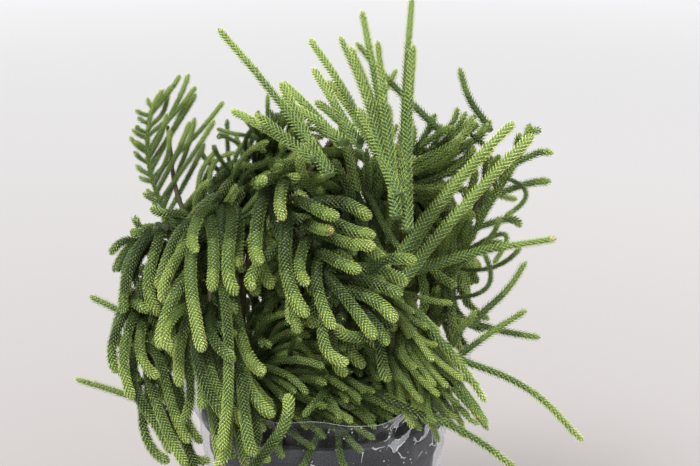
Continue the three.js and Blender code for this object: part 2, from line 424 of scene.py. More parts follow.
ROPE_LEAF = LeafKind(*mm(3.6, 3.0, 0.95), 0.50, 0.265 * MM)
MIDDLE_LEAF = LeafKind(*mm(3.9, 2.8, 0.9), 0.58, 0.34 * MM)
THIN_LEAF = LeafKind(*mm(3.0, 2.3, 0.7), 0.50, 0.31 * MM)
AWL_LEAF = LeafKind(*mm(4.4, 2.2, 0.7), 0.66, 0.36 * MM)
LEAVES = (ROPE_LEAF, MIDDLE_LEAF, THIN_LEAF, AWL_LEAF)
LEAF_SPREAD = 1.3 * MM  # how far the leaves stand out from the limb inside them


@dataclass
class Shoot:
    """A leafy shoot: its middle line from foot to tip, and its looks along that."""

    line: np.ndarray
    girth: float
    tint: tuple  # at the foot and at the tip
    taper: tuple = (0.86, 1.0)  # its thickness at the foot and at the tip, in girths
    dry: bool = False  # whether its very tip has died back

    def shape(self, leaf):
        """Radius, slant, leaf size and tint at each point of the line."""
        along = run_of(self.line)
        total = along[-1]
        share = along / total
        # a slightly swollen shoot with a blunt, rounded tip
        cap = min(2.2 * self.girth, 0.4 * total)
        inside = np.clip((total - along) / cap, 0, 1)
        rounding = np.clip(1 - (1 - inside) ** 2.6, 0.004, 1) ** (1 / 2.6)
        radius = self.girth * (self.taper[0] + (self.taper[1] - self.taper[0]) * share) * rounding
        slope = np.gradient(radius, along)
        slant = leaf.slant * inside + np.clip(np.arctan(slope), -1.1, 0)
        size = (0.92 + 0.12 * share) * (0.5 + 0.5 * inside**0.7)
        tint = self.tint[0] + (self.tint[1] - self.tint[0]) * share**1.7
        if self.dry:
            tint[total - along < 7 * MM] = RUST
        return radius, slant, size, tint


def finely(shoot, spacing=4 * MM, tip_spacing=1.2 * MM):
    """The shoot with points close enough for its bends, and closer still at its rounded tip."""
    total = length_of(shoot.line)
    cap = min(5 * shoot.girth, 0.5 * total)
    body = np.linspace(0, total - cap, max(3, int((total - cap) / spacing)), endpoint=False)
    tip = np.linspace(total - cap, total, max(4, int(cap / tip_spacing)))
    return replace(shoot, line=points_at(shoot.line, np.concatenate([body, tip])))


LOOKS = ("girth", "slant", "leaf_size", "tint")


def give_values(mesh, name, domain, values):
    """Keeps a number for each of a mesh's points or faces."""
    attribute = mesh.attributes.new(name, "FLOAT", domain)
    attribute.data.foreach_set("value", np.array(values, np.float32))


def path_object(name, lines, looks):
    """Lines as one mesh of edges, with a row of values of each look for every line."""
    edges = []
    first = 0
    for line in lines:
        edges += [(first + k, first + k + 1) for k in range(len(line) - 1)]
        first += len(line)
    mesh = bpy.data.meshes.new(name)
    mesh.from_pydata(np.vstack(lines).tolist(), edges, [])
    for key, rows in looks.items():
        give_values(mesh, key, "POINT", np.concatenate(rows))
    return new_object(name, mesh)


def leaf_object(leaf):
    """One leaf: a keeled awl lying along X with its ridge towards Z, its base face towards the shoot's
    foot and marked for painted shade.
    """
    half = leaf.wide / 2
    low = -0.15 * leaf.keel
    tip = (leaf.long, 0, 0.75 * leaf.keel)
    points = [(0, -half, low), (0, half, low), (0.60 * leaf.long, 0, leaf.keel), tip]
    mesh = bpy.data.meshes.new("leaf")
    mesh.from_pydata(points, [], [(0, 2, 1), (0, 3, 2), (2, 3, 1)])
    # painted shade: the base face is dealt a darker tint, so the gaps between the leaves look shaded
    give_values(mesh, "heel", "FACE", (1, 0, 0))
    return new_object("leaf", mesh)


def new_group(name, **sockets):
    """An empty geometry node group, the wires of its named inputs, and the inputs' identifiers."""
    tree = bpy.data.node_groups.new(name, "GeometryNodeTree")
    made = {}
    for key, kind in {"Geometry": "Geometry", **sockets}.items():
        made[key] = tree.interface.new_socket(key, in_out="INPUT", socket_type="NodeSocket" + kind)
    tree.interface.new_socket("Geometry", in_out="OUTPUT", socket_type="NodeSocketGeometry")
    graph = Graph(tree)
    inner = graph.add("NodeGroupInput")
    given = {key: graph.out(inner, key) for key in made}
    return graph, given, {key: socket.identifier for key, socket in made.items()}


def close_group(graph, geometry, materials, value=None):
    """Makes the geometry real, with the last material whose number the value reaches on each face."""
    geometry = graph.wire("GeometryNodeRealizeInstances", {"Geometry": geometry})
    for number, material in enumerate(materials):
        inputs = {"Geometry": geometry, "Material": material}
        if number:
            inputs["Selection"] = value > (number - 0.5)
        geometry = graph.wire("GeometryNodeSetMaterial", inputs)
    graph.add("NodeGroupOutput", {"Geometry": geometry})


def named(graph, name):
    return graph.wire("GeometryNodeInputNamedAttribute", {"Name": name}, data_type="FLOAT")


def scaled(graph, vector, amount):
    return graph.wire("ShaderNodeVectorMath", {"Vector": vector, "Scale": amount}, operation="SCALE")


def chance(graph, low, high, seed):
    return graph.wire("FunctionNodeRandomValue", {2: low, 3: high, "Seed": seed}, 1, data_type="FLOAT")


def leaves_group(materials):
    """Sets a leaf at every step along each path, turned by the golden angle from the one before."""
    graph, given, sockets = new_group("leaves_on_shoots", Step="Float", Leaf="Object", Seed="Int")
    paths = graph.wire("GeometryNodeMeshToCurve", {"Mesh": given["Geometry"]})
    steps = {"Curve": paths, "Length": given["Step"]}
    spots = graph.add("GeometryNodeCurveToPoints", steps, mode="LENGTH")
    tangent = graph.out(spots, "Tangent")
    turn = graph.wire("GeometryNodeInputIndex") * GOLDEN_ANGLE
    outward = graph.wire(
        "ShaderNodeVectorRotate",
        {"Vector": graph.out(spots, "Normal"), "Axis": tangent, "Angle": turn},
        rotation_type="AXIS_ANGLE",
    )
    facing = graph.wire(
        "FunctionNodeAxesToRotation",
        {"Primary Axis": tangent, "Secondary Axis": outward},
        primary_axis="X",
        secondary_axis="Z",
    )
    tilt = chance(graph, -0.07, 0.07, given["Seed"] + 1) - named(graph, "slant")
    about_side = graph.wire("ShaderNodeCombineXYZ", {"Y": tilt})
    lifted = graph.wire("FunctionNodeEulerToRotation", {"Euler": about_side})
    turns = {"Rotation": facing, "Rotate By": lifted}
    tilted = graph.wire("FunctionNodeRotateRotation", turns, rotation_space="LOCAL")
    size = named(graph, "leaf_size") * chance(graph, 0.86, 1.12, given["Seed"] + 2)
    # everything that reads the points is stored before they move and become leaves
    stray = chance(graph, -0.3, 0.3, given["Seed"] + 3)
    rusty = chance(graph, 0, 1, given["Seed"] + 4) > 1 - RUSTY_LEAVES
    tint = named(graph, "tint") + stray + RUST * rusty
    dealt = graph.wire(
        "GeometryNodeStoreNamedAttribute",
        {"Geometry": graph.out(spots, "Points"), "Name": "tint", "Value": tint},
        data_type="FLOAT",
        domain="POINT",
    )
    offset = scaled(graph, outward, named(graph, "girth"))
    moved = graph.wire("GeometryNodeSetPosition", {"Geometry": dealt, "Offset": offset})
    shape = graph.wire("GeometryNodeObjectInfo", {"Object": given["Leaf"]}, "Geometry")
    placing = {"Points": moved, "Instance": shape, "Rotation": tilted, "Scale": size}
    leaves = graph.wire("GeometryNodeInstanceOnPoints", placing)
    # painted shade: each leaf's base face is dealt tints 2.2 steps darker
    close_group(graph, leaves, materials, named(graph, "tint") - 2.2 * named(graph, "heel"))
    return graph.tree, sockets


def tubes(graph, given):
    """A closed tube of the path's girth along each path."""
    paths = graph.wire("GeometryNodeMeshToCurve", {"Mesh": given["Geometry"]})
    steps = {"Curve": paths, "Length": given["Step"]}
    even = graph.wire("GeometryNodeResampleCurve", steps, mode="LENGTH")
    ring = graph.wire("GeometryNodeCurvePrimitiveCircle", {"Resolution": given["Sides"], "Radius": 1.0})
    sweep = {"Curve": even, "Profile Curve": ring, "Scale": named(graph, "girth"), "Fill Caps": True}
    return graph.wire("GeometryNodeCurveToMesh", sweep)


def cores_group(materials):
    """A slim limb inside the leaves of each path, dealt tints two steps darker than its leaves: painted
    shade in the gaps between them.
    """
    graph, given, sockets = new_group("limbs_in_shoots_painted_shade", Step="Float", Sides="Int")
    close_group(graph, tubes(graph, given), materials, named(graph, "tint") - 2.0)
    return graph.tree, sockets


def bark_group(material):
    """Limbs with bark: shallow rings and scars that stand out along the surface's normal."""
    graph, given, sockets = new_group("limbs_with_bark", Step="Float", Sides="Int", Relief="Float")
    scars = graph.wire("ShaderNodeTexVoronoi", {"Scale": 260.0}, "Distance")
    lift = scaled(graph, graph.wire("GeometryNodeInputNormal"), (0.5 - scars) * given["Relief"])
    rough = graph.wire("GeometryNodeSetPosition", {"Geometry": tubes(graph, given), "Offset": lift})
    close_group(graph, rough, [material])
    return graph.tree, sockets


def grown_piece(name, source, group, values):
    """Runs a node group on the source object and keeps the result as a plain mesh."""
    tree, sockets = group
    modifier = source.modifiers.new("grow", "NODES")
    modifier.node_group = tree
    for key, value in values.items():
        modifier[sockets[key]] = value
    evaluated = source.evaluated_get(bpy.context.evaluated_depsgraph_get())
    mesh = bpy.data.meshes.new_from_object(evaluated)
    source.modifiers.remove(modifier)
    mesh.name = name
    for attribute in list(mesh.attributes):
        if attribute.name in (*LOOKS, "heel"):
            mesh.attributes.remove(attribute)
    return new_object(name, mesh)


def hand_over(piece, slot, *nodes):
    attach(piece, "root")
    if nodes:
        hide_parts(*nodes)
    return piece


class Clothes:
    """The leaves and the limbs that shoots are dressed in."""

    def __init__(self):
        tints = leaf_materials()
        self.leaves = leaves_group(tints)
        # painted shade: the limbs take only the three darkest tints
        self.cores = cores_group(tints[:3])
        self.shapes = {kind: leaf_object(kind) for kind in LEAVES}

    def dress(self, name, shoots, leaf, slot, *replaced):
        shoots = [finely(shoot) for shoot in shoots]
        looks = dict(zip(LOOKS, zip(*(shoot.shape(leaf) for shoot in shoots))))
        source = path_object(name, [shoot.line for shoot in shoots], looks)
        values = {"Step": leaf.step, "Leaf": self.shapes[leaf], "Seed": SEED + len(name)}
        hand_over(grown_piece(name + "_leaves", source, self.leaves, values), slot, *replaced)
        hand_over(grown_piece(name + "_limbs", source, self.cores, {"Step": 5 * MM, "Sides": 6}), slot)
        bpy.data.objects.remove(source)

    def put_away(self):
        for shape in self.shapes.values():
            bpy.data.objects.remove(shape)


# ---- how each mass grows ----


EVERYWHERE = ((-1, -1, -1), (1, 1, 1))
NOWHERE = ((1, 1, 1), (1, 1, 1))


@dataclass(frozen=True)
class Habit:
    """How the shoots of a mass grow: thatch bends over towards its surface, comb stands off a rib."""

    rule: str = "thatch"
    mass: str = ""  # the mass, where it isn't the habit's own name
    zone: tuple = EVERYWHERE  # the box that the tips are in
    keep_out: tuple = NOWHERE  # the box that they are not in
    leaf: LeafKind = ROPE_LEAF
    slot: str = "fresh_foliage"
    length: tuple = mm(55, 110)
    girth: float = 3.9 * MM
    tint: tuple = (1.8, 3.6)
    taper: tuple = (0.86, 1.0)
    flow: tuple = ()  # where the tips head, or nothing to head along the mass
    lean: float = 0.3  # how much the tips head out of the mass
    stray: float = 0.34  # how much their headings differ
    layers: tuple = ((0, 650, 1.0), (10 * MM, 600, 0.78), (22 * MM, 400, 0.7))
    buried: float = 4 * MM  # tips this deep inside another mass are left out
    curl: float = 18 * MM  # how far a tip turns off its line
    proud: float = 9 * MM  # how far a tip stands out of the mass
    rebels: float = 0.09  # share of the shoots that stand out on their own
    angles: tuple = (0.7, 0.7)  # a comb's shoots off its rib, on its full and its spare side
    sides: tuple = (1.0, 1.0)  # their share of the way to the mass's edge
    hook: tuple = (0, 0, 1)  # where the shoots on the spare side turn
    full_side: tuple = (1.0, 0.0, 0.0)  # which way the full side faces
    shift: float = 0.0  # how far the rib lies towards the spare side
    spare_every: int = 2  # one in this many of a comb's shoots is on the spare side
    reins: tuple = ()  # long shoots beside the rib: foot and tip
    focus: tuple = ()  # where the shoots fan out from, or nothing to leave the bough anywhere
    crowd: float = 1.0  # how closely a comb's shoots follow along its rib
    straw: float = 0.0  # share of the shoots that are straw-coloured


# the part of the heart that the long shoots rise from
SPRAY_ZONE = ((0.005, -0.2, 0.44), (0.12, 0.06, 0.62))
DRY_TIPS = ("whip_right_arm", "whip_low_inner")
# how far forward the feet of the spray come, to lie over the top of the crown
SPRAY_FOOT = np.array([0.004, -0.092, 0.022])
HOOK_GIRTH = 2.0 * MM
# the curled shoots on the right: foot, bend and tip
HOOKS = (
    ((0.186, 0.0, 0.529), (0.226, 0.0, 0.515), (0.184, 0.0, 0.489)),
    ((0.123, -0.01, 0.435), (0.168, -0.01, 0.452), (0.179, -0.01, 0.491)),
    ((0.133, 0.0, 0.402), (0.190, 0.0, 0.402), (0.164, 0.0, 0.451)),
    ((0.138, -0.005, 0.449), (0.212, -0.005, 0.500), (0.174, -0.005, 0.441)),
    ((0.133, 0.03, 0.425), (0.180, 0.03, 0.412), (0.205, 0.03, 0.446)),
)
# the long shoots beside the right-hand frond's rib: foot and tip
REINS = (
    ((0.074, -0.088, 0.444), (0.209, -0.012, 0.577)),
    ((0.070, -0.070, 0.462), (0.190, -0.004, 0.588)),
    ((0.084, -0.060, 0.470), (0.172, 0.012, 0.560)),
)
# the part of the heart that is seen between the falls
FRONT_ZONE = ((-0.10, -0.3, 0.28), (0.12, 0.0, 0.46))
# the part of it behind the falls on the left
DEEP_ZONE = ((-0.2, -0.3, 0.30), (0.06, 0.03, 0.50))
# the part of the heart over the bucket's rim on the right
LOW_ZONE = ((0.02, -0.12, 0.25), (0.2, 0.2, 0.39))
FRESH = Habit()
DARK = Habit(slot="dark_foliage", leaf=MIDDLE_LEAF, girth=2.8 * MM, tint=(1.6, 3.5))
THIN = replace(DARK, leaf=THIN_LEAF, girth=1.9 * MM, proud=16 * MM)
HANG = replace(FRESH, lean=0.22, girth=3.2 * MM)
BACK = replace(HANG, length=mm(60, 130), tint=(1.8, 3.9))
HABITS = {
    "frond_right": replace(
        DARK, rule="comb", girth=2.9 * MM, tint=(2.5, 4.1), angles=(0.6, 0.8), sides=(0.75, 1.8),
        spare_every=6, full_side=(-1.0, 0.0, 0.3), shift=0.3,
        reins=REINS, crowd=0.9, curl=36 * MM, hook=(-0.2, 0, -1), straw=0.12,
    ),
    "frond_left_rear": replace(
        THIN, rule="comb", girth=2.2 * MM, tint=(2.5, 4.2), angles=(0.85, 1.1), sides=(1.25, 1.0),
        shift=0.6, curl=14 * MM, crowd=1.05,
    ),
    "fall_front": replace(
        FRESH, length=mm(50, 105), girth=4.3 * MM, tint=(1.0, 4.9), flow=(0.85, -0.25, -0.42),
        zone=((-1, -1, 0.37), (0.08, 1, 1)), lean=0.35, stray=0.3, proud=16 * MM,
        layers=((0, 700, 1.3), (13 * MM, 400, 1.0), (27 * MM, 300, 0.9)),
    ),
    "fall_front_left": replace(
        HANG, length=mm(90, 180), girth=3.9 * MM, tint=(1.6, 4.6), zone=((-1, -1, -1), (1, 1, 0.475)),
        flow=(0.30, -0.15, -0.9), stray=0.3, proud=16 * MM, curl=26 * MM,
        layers=((0, 700, 1.2), (12 * MM, 500, 0.9), (26 * MM, 300, 0.8)),
    ),
    "fall_left": replace(
        HANG, length=mm(100, 200), girth=3.7 * MM, tint=(1.8, 4.6), zone=((-1, -1, -1), (1, 1, 0.42)),
        flow=(0.55, -0.2, -0.75), stray=0.26, proud=5 * MM, curl=24 * MM,
        layers=((0, 700, 1.15), (12 * MM, 500, 0.9), (26 * MM, 300, 0.8)),
    ),
    "heart_front": replace(
        THIN, mass="heart", zone=FRONT_ZONE, length=mm(70, 150), tint=(1.3, 3.8),
        flow=(0.8, -0.3, -0.5), stray=0.16, buried=40 * MM,
        layers=((0, 700, 1.0), (12 * MM, 400, 0.9)),
    ),
    "fall_front_right": replace(
        THIN, length=mm(70, 150), tint=(2.0, 4.4), flow=(0.72, -0.2, -0.62), stray=0.16,
        layers=((0, 900, 1.0), (9 * MM, 700, 0.8), (20 * MM, 400, 0.7)),
    ),
    "fall_right": replace(
        DARK, length=mm(50, 110), curl=36 * MM, girth=2.5 * MM, lean=0.5, tint=(1.6, 3.8),
        layers=((0, 400, 1.6), (12 * MM, 300, 1.1)),
    ),
    "fall_back_right": BACK,
    "fall_back": BACK,
    "fall_back_left": BACK,
    "fall_left_rear": replace(DARK, length=mm(50, 110), tint=(1.5, 3.4)),
    "tuft_left": replace(
        FRESH, slot="dark_foliage", length=mm(40, 80), girth=2.9 * MM, curl=26 * MM,
        flow=(-0.2, -0.3, -0.8), lean=0.6, layers=((0, 500, 1.4), (10 * MM, 300, 1.0)),
    ),
    "ridge_left": replace(
        THIN, length=mm(50, 110), flow=(0.75, 0, 0.6), tint=(1.9, 3.9), rebels=0.25,
        layers=((0, 900, 1.2), (10 * MM, 500, 0.8)),
    ),
    "ridge_right": replace(
        DARK, leaf=AWL_LEAF, length=mm(70, 130), flow=(0.35, 0, 0.85), girth=2.4 * MM, tint=(2.3, 4.2),
    ),
    "heart_right": replace(
        DARK, mass="heart", slot="long_shoot", leaf=AWL_LEAF, zone=SPRAY_ZONE,
        focus=(0.052, -0.03, 0.43), length=mm(150, 230), curl=8 * MM, girth=2.6 * MM, tint=(2.1, 4.1),
        taper=(1.3, 0.75), lean=0.1, stray=0.16,
        layers=((0, 420, 1.1), (14 * MM, 400, 0.85), (30 * MM, 300, 0.8)), buried=14 * MM,
        rebels=0.03, proud=12 * MM,
    ),
    "heart": replace(
        FRESH, keep_out=SPRAY_ZONE, length=mm(45, 95), girth=3.4 * MM, tint=(1.9, 4.6),
        flow=(0.6, -0.15, 0.45), lean=0.6, stray=0.45,
        layers=((0, 1000, 0.95), (12 * MM, 650, 0.85), (30 * MM, 650, 0.8)), buried=34 * MM,
    ),
    "heart_low": replace(
        THIN, mass="heart", zone=LOW_ZONE, length=mm(50, 110), flow=(0.7, 0.1, -0.35), stray=0.35,
        proud=34 * MM, buried=20 * MM, tint=(1.2, 3.6), layers=((0, 1100, 0.9), (10 * MM, 800, 0.8)),
    ),
    "skirt_front": replace(
        THIN, length=mm(60, 120), flow=(0.75, -0.35, -0.45), stray=0.28, proud=24 * MM, tint=(0.9, 3.4),
        layers=((0, 900, 0.85), (10 * MM, 800, 0.7), (20 * MM, 500, 0.65)),
    ),
    "heart_deep": replace(
        FRESH, mass="heart", slot="dark_foliage", zone=DEEP_ZONE, length=mm(50, 100), girth=3.2 * MM,
        flow=(0.4, -0.4, -0.3), stray=0.5, tint=(1.2, 3.4), buried=60 * MM,
        layers=((24 * MM, 700, 0.75), (44 * MM, 600, 0.75)),
    ),
    "skirt_back": replace(
        DARK, length=mm(40, 85), flow=(0, 0.6, -0.5), stray=0.5, proud=16 * MM, tint=(1.3, 3.1),
    ),
}


class Grove:
    """Everything that has grown so far, so that the next shoot keeps its distance."""

    def __init__(self):
        self.points = np.zeros((0, 3))
        self.sizes = np.zeros(0)

    def room(self, line, girth):
        """The smallest gap between the line and what has grown, in shares of where they would touch."""
        near = np.abs(self.points - line.mean(0)).max(1) < 0.09
        if not near.any():
            return 9.0
        gaps = norm(line[:, None] - self.points[near][None], axis=2)
        return float((gaps / (girth + self.sizes[near] + 2 * LEAF_SPREAD)[None]).min())

    def plant(self, line, girth):
        even = resampled(line, max(4, int(length_of(line) / (6 * MM))))
        self.points = np.vstack([self.points, even])
        self.sizes = np.concatenate([self.sizes, np.full(len(even), girth)])


# what differs from shoot to shoot, whatever the habit
GIRTHS = (0.84, 1.14)  # shares of the habit's girth
SHORTEST = 0.3  # share of its length that a shoot needs
DRY_SHARE = 0.008  # share of the shoots with a dry tip
# painted shade: shoots that lie deeper in a mass are dealt darker tints
SHADE_DEPTH = 12 * MM  # a shoot this much deeper is one tint darker
# a rebel's own lean and stray, and shares of the habit's proud and length
REBEL_LEAN = 1.2
REBEL_STRAY = 0.6
REBEL_PROUD = 2.2
REBEL_LENGTH = 0.7


def tip_turned(line, way, amount):
    """The line with its last part bent towards way."""
    share = np.linspace(0, 1, len(line))
    bend = np.clip((share - 0.45) / 0.55, 0, 1) ** 2
    return line + bend[:, None] * amount * way


def thatch(habit, limb, solid, others, grove, rng):
    """Shoots that rise off the bough, then bend over to their tips, which crowd the mass's surface."""
    made = []
    for depth, tries, spacing in habit.layers:
        for spot, out in zip(*solid.spread(tries, rng)):
            if not in_box(spot, habit.zone) or in_box(spot, habit.keep_out):
                continue
            if any(other.holds(spot + out * 4 * MM, habit.buried) for other in others):
                continue
            place = limb.nearest(spot)
            along = limb.line[min(place + 2, limb.POINTS - 1)] - limb.line[max(place - 2, 0)]
            flow = unit(np.array(habit.flow)) if habit.flow else unit(along)
            if habit.focus:
                flow = unit(spot - habit.focus)
            rebel = rng.random() < habit.rebels
            lean, stray, proud = habit.lean, habit.stray, habit.proud
            if rebel:
                lean, stray, proud = REBEL_LEAN, REBEL_STRAY, REBEL_PROUD * proud
            heading = unit(flow + out * lean + rng.normal(0, stray, 3))
            girth = habit.girth * rng.uniform(*GIRTHS)
            length = rng.uniform(*habit.length) * (REBEL_LENGTH if rebel else 1.0)
            tip = spot + out * (rng.uniform(0, proud) - girth - depth)
            foot = limb.line[limb.nearest(tip - heading * length)]
            if habit.focus:
                foot = np.array(habit.focus)
            foot = foot + rng.normal(0, 5 * MM, 3)
            span = float(norm(tip - foot))
            if span < SHORTEST * length:
                continue
            if span > 1.2 * length:
                foot = tip + (foot - tip) * (1.1 * length / span)
                span = 1.1 * length
            # a stray habit's shoots also leave the bough at odd angles
            oddness = rng.normal(0, 0.3, 3) * min(1, 9 * habit.stray**2)
            bend = np.zeros(3) if habit.focus else 0.8 * out + (0, 0, 0.35)
            rise = unit(0.5 * unit(tip - foot) + bend + oddness)
            line = bezier(foot, foot + rise * span * 0.4, tip - heading * span * 0.42, tip, 15)
            line = tip_turned(line, unit(rng.normal(size=3)), rng.uniform(0, 1) * habit.curl)
            if min(solid.depth(point) for point in line[4::2]) < -proud - 3 * MM:
                continue
            if grove.room(line[5:], girth) < spacing:
                continue
            # a random tint shift, plus painted shade: the deeper the shoot lies in the mass, the darker
            # its tints
            shift = rng.normal(0, 0.22) - depth / SHADE_DEPTH
            tint = (habit.tint[0] + shift, habit.tint[1] + shift)
            made.append(Shoot(line, girth, tint, habit.taper, rng.random() < DRY_SHARE))
            grove.plant(line[4:], girth)
    return made


def comb(habit, limb, solid, others, grove, rng):
    """Shoots that stand off both sides of a rib, out to the edge of the mass, and the rib itself."""
    side = unit(np.cross(limb.main[2], limb.main[0]))
    side = side * (1 if side @ np.array(habit.full_side) > 0 else -1)
    broad = np.array([min(solid.way_out(p, -side), solid.way_out(p, side)) for p in limb.line])
    rib = smoothed(limb.line - side * (habit.shift * broad)[:, None], 3)
    made = [Shoot(rib, habit.girth, habit.tint)]
    grove.plant(rib, habit.girth)
    for foot, tip in habit.reins:
        foot, tip = np.array(foot), np.array(tip)
        bow = side * 7 * MM
        line = bezier(foot, foot + (tip - foot) * 0.33 + bow, tip + (foot - tip) * 0.33 + bow, tip, 21)
        made.append(Shoot(line, habit.girth * 1.4, (3.0, 5.4), (0.95, 0.9)))
        grove.plant(line, habit.girth * 1.4)
    count = int(habit.crowd * length_of(limb.line) / (1.9 * habit.girth))
    for number in range(count):
        spare = int(number % habit.spare_every == 0)
        share = 0.04 + 0.96 * (number + rng.uniform(0, 1)) / count
        place = min(int(share * 20), 18)
        way = unit(rib[place + 2] - rib[place])
        middle = rib[place] + (rib[place + 1] - rib[place]) * (share * 20 - place)
        angle = habit.angles[spare] * rng.uniform(0.75, 1.2)
        heading = way * math.cos(angle) + side * (1 - 2 * spare) * math.sin(angle)
        heading = unit(heading + limb.main[2] * rng.uniform(-0.35, 0.35))
        reach = solid.way_out(middle, heading) * rng.uniform(0.75, 1.1) * habit.sides[spare]
        if reach < 9 * MM:
            continue
        line = middle + heading * reach * np.linspace(0, 1, 11)[:, None]
        turn = np.array(habit.hook) if spare else way
        turn = unit(turn * rng.uniform(0.5, 1) + rng.normal(0, 0.3, 3))
        line = tip_turned(line, turn, min(habit.curl, 0.5 * reach) * rng.uniform(0.2, 1))
        if grove.room(line[6:], habit.girth) < 0.5:
            continue
        tint = (habit.tint[0], STRAW) if rng.random() < habit.straw else habit.tint
        made.append(Shoot(line, habit.girth * rng.uniform(0.85, 1.05), tint))
        grove.plant(line[4:], habit.girth)
    return made


RULES = {"thatch": thatch, "comb": comb}


def companion(line, rng):
    """A shorter shoot that leaves a long one's foot and drifts away from it."""
    cut = int(rng.uniform(9, 17))
    way = unit(line[cut] - line[0])
    side = rng.normal(size=3)
    away = unit(side - way * (way @ side)) * rng.uniform(10, 26) * MM
    return line[:cut] + away * np.linspace(0, 1, cut)[:, None] ** 1.2


# ---- the bucket and its sleeve ----


def lathe(name, outline, sides):
    """Turns a closed outline of (radius, height) corners about the upright axis."""
    bm = bmesh.new()
    rings = []
    for number in range(sides):
        angle = 2 * math.pi * number / sides
        rings.append([bm.verts.new((r * math.cos(angle), r * math.sin(angle), z)) for r, z in outline])
    for number in range(sides):
        here, there = rings[number], rings[(number + 1) % sides]
        for low in range(len(outline) - 1):
            bm.faces.new((here[low], there[low], there[low + 1], here[low + 1]))
    bmesh.ops.remove_doubles(bm, verts=bm.verts, dist=1e-6)
    bmesh.ops.recalc_face_normals(bm, faces=bm.faces)
    mesh = bpy.data.meshes.new(name)
    bm.to_mesh(mesh)
    bm.free()
    mesh.shade_smooth()
    return new_object(name, mesh)


def rounded(corners, radii, steps=5):
    """The outline with its inner corners rounded off by arcs."""
    done = [corners[0]]
    for before, corner, after, radius in zip(corners, corners[1:], corners[2:], radii):
        a, b, c = (np.array(p, float) for p in (before, corner, after))
        reach = min(radius, 0.45 * norm(a - b), 0.45 * norm(c - b))
        start, end = b + unit(a - b) * reach, b + unit(c - b) * reach
        for t in np.linspace(0, 1, steps):
            done.append(tuple((1 - t) ** 2 * start + 2 * t * (1 - t) * b + t**2 * end))
    done.append(corners[-1])
    return done


def make_bucket(frame, material):
    """The bucket: a turned shell with a stiffening rib and a lip rolled out and down."""
    _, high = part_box("bucket")
    height, lip = high.z, high.x
    corners = [v.co for v in frame["nodes"]["bucket"].data.vertices]
    foot = max(math.hypot(x, y) for x, y, z in corners if z <= 4 * MM)
    wall = 2.5 * MM
    mouth = lip - 6.5 * MM
    rib = height - 44 * MM
    inner_floor = 5 * MM

    def side(z):
        """The wall's outer radius at a height."""
        return foot + (mouth - foot) * z / height

    outline = [
        (0, 2 * MM, 0),
        (foot - 14 * MM, 2 * MM, 1.5),
        (foot - 12 * MM, 0, 1),
        (foot - 4 * MM, 0, 2),
        (foot, 4 * MM, 3),
        (side(rib - 7 * MM), rib - 7 * MM, 3),
        (side(rib) + 2.4 * MM, rib - 4 * MM, 2),
        (side(rib) + 2.4 * MM, rib + 4 * MM, 2),
        (side(rib + 7 * MM), rib + 7 * MM, 3),
        (side(height - 15 * MM), height - 13 * MM, 2),
        (lip - wall, height - 11.5 * MM, 1),
        (lip - wall, height - 14 * MM, 0.6),
        (lip, height - 14 * MM, 0.8),
        (lip, height, 3),
        (mouth - wall, height, 2.5),
        (foot - wall, inner_floor, 4),
        (foot - 8 * MM, inner_floor, 2),
        (0, inner_floor, 0),
    ]
    softness = [corner[2] * MM for corner in outline[1:-1]]
    bucket = lathe("bucket_shell", rounded([corner[:2] for corner in outline], softness), 96)
    bucket.data.materials.append(material)
    return hand_over(bucket, "bucket_plastic", "bucket")


def film_line(frame):
    """The sleeve's middle radius at a row of heights, from hem to upper edge."""
    node = frame["nodes"]["film_sleeve"]
    low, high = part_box("film_sleeve")
    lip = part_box("bucket")[1].z
    corners = np.array([v.co for v in node.data.vertices])
    flare = [lip - 16 * MM, lip, lip + 0.5 * (high.z - lip), high.z - 4 * MM]
    heights = np.array([low.z, 0.09, 0.18, *flare])
    radii = []
    for height in heights:
        gap = np.abs(corners[:, 2] - height)
        ring = corners[gap < gap.min() + 4 * MM]
        radii.append(np.hypot(ring[:, 0], ring[:, 1]).mean())
    return heights, np.array(radii)


def creases(around, up, rng, count):
    """Sharp folds: each is a straight line over the sheet, with the sheet bent along it."""
    field = np.zeros_like(around)
    for _ in range(count):
        heading = rng.uniform(0, math.pi)
        x = around - rng.uniform(around.min(), around.max())
        y = up - rng.uniform(up.min(), up.max())
        gap = np.abs(x * math.sin(heading) - y * math.cos(heading))
        along = x * math.cos(heading) + y * math.sin(heading)
        width = rng.uniform(8, 22) * MM
        reach = rng.uniform(20, 70) * MM
        fade = np.clip(1 - np.abs(along) / reach, 0, 1)
        field += rng.choice([-1, 1]) * np.clip(1 - gap / width, 0, 1) * fade * rng.uniform(0.5, 1)
    return field


